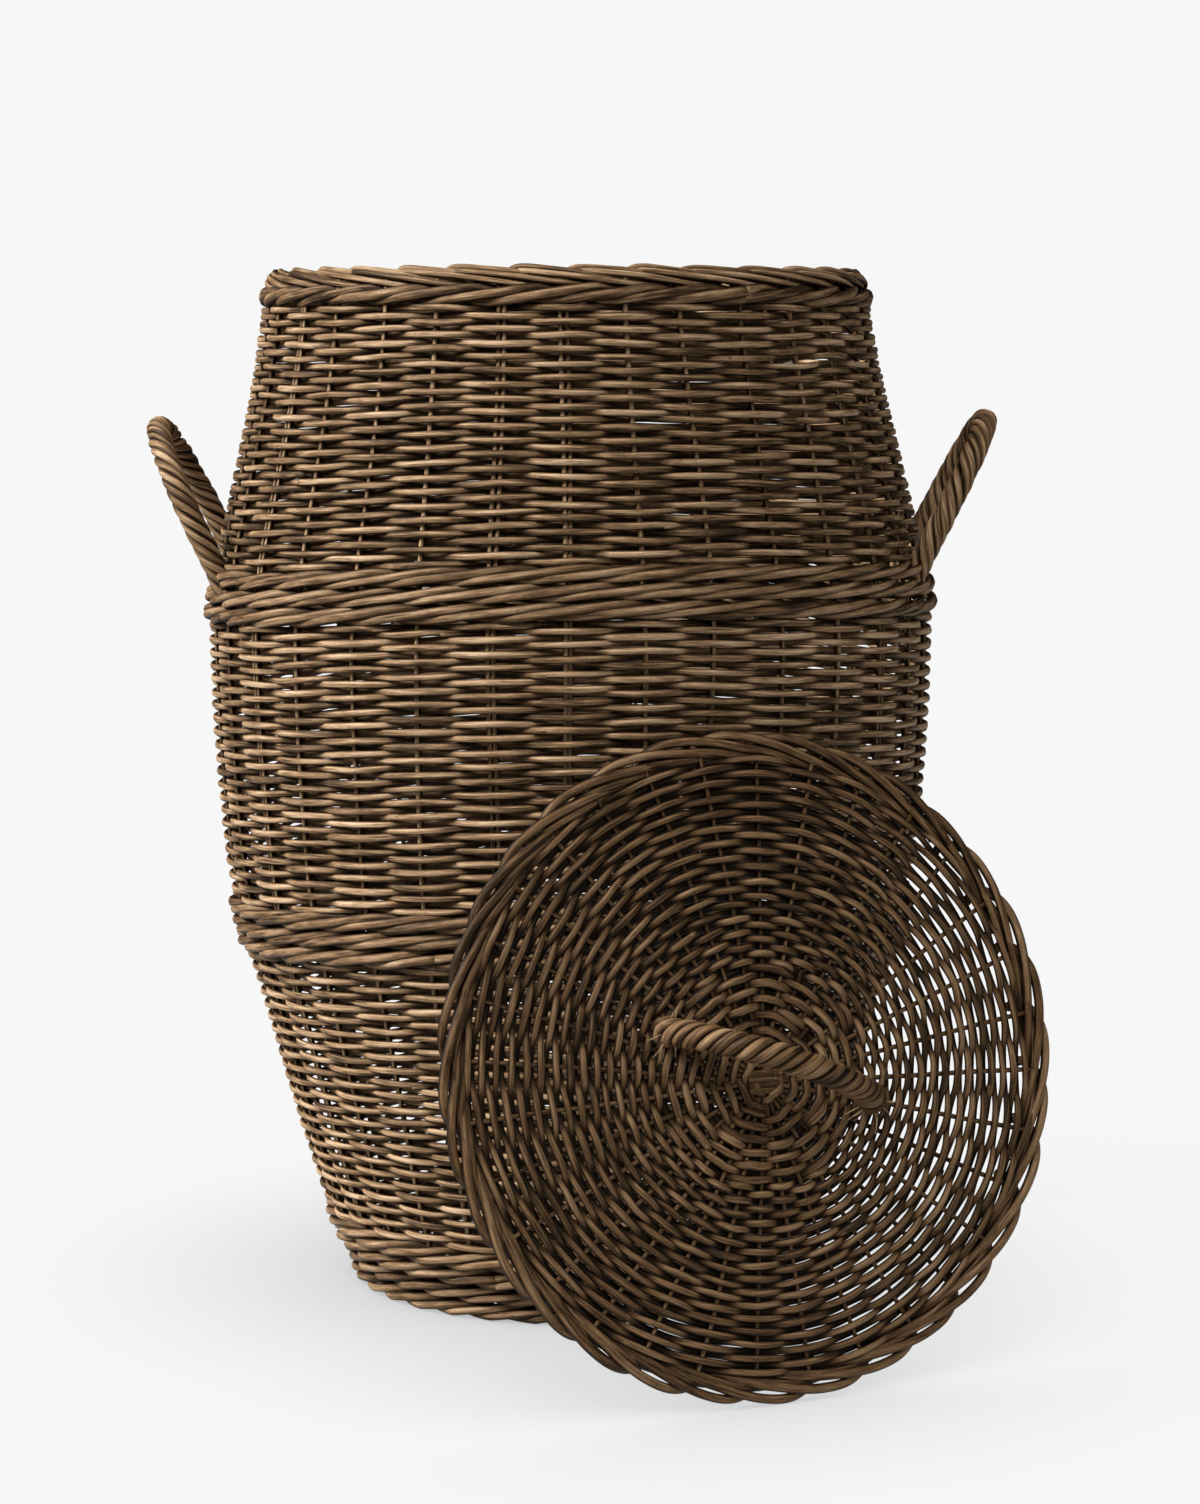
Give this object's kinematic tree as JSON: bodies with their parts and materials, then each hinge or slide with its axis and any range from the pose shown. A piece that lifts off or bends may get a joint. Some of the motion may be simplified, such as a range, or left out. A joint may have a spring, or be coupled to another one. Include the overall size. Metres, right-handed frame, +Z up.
{
  "type": "laundry hamper with lid",
  "caption": "Barrel-shaped woven rattan laundry hamper with two rope-wrapped ear handles and a loose round woven lid leaning against it.",
  "frame": {"origin": "centre of the hamper's foot, on the floor", "axes": "+Z up along the hamper's axis; -Y is the front; the ear handles are at +X and -X; the lid leans against the front right"},
  "size_m": [0.59, 0.6125, 0.68],
  "materials": {
    "weave_rattan": "satin",
    "band_rattan": "satin",
    "stake_rattan": "matte",
    "rope_rattan": "matte",
    "tie_fibre": "matte"
  },
  "bodies": {
    "hamper": {"base_cross": "stake_rattan", "base_spokes": "stake_rattan", "base_weave": "weave_rattan", "foot_band": "band_rattan", "side_stakes": "stake_rattan", "lower_weave": "weave_rattan", "lower_band": "band_rattan", "middle_weave": "weave_rattan", "upper_band": "band_rattan", "upper_weave": "weave_rattan", "rim_band": "band_rattan", "rim_border": "band_rattan", "left_handle_bow": "stake_rattan", "left_handle_wrap": "rope_rattan", "right_handle_bow": "stake_rattan", "right_handle_wrap": "rope_rattan"},
    "lid": {"lid_cross": "stake_rattan", "lid_spokes": "stake_rattan", "lid_weave": "weave_rattan", "lid_border": "band_rattan", "lid_handle_bow": "stake_rattan", "lid_handle_wrap": "rope_rattan", "lid_handle_lashings": "tie_fibre"}
  },
  "joints": [
    {"name": "lid_lift", "type": "slide", "parent": "hamper", "child": "lid", "axis": [0.2695, -0.6538, 0.7071], "range_m": [0, 0.35]}
  ]
}
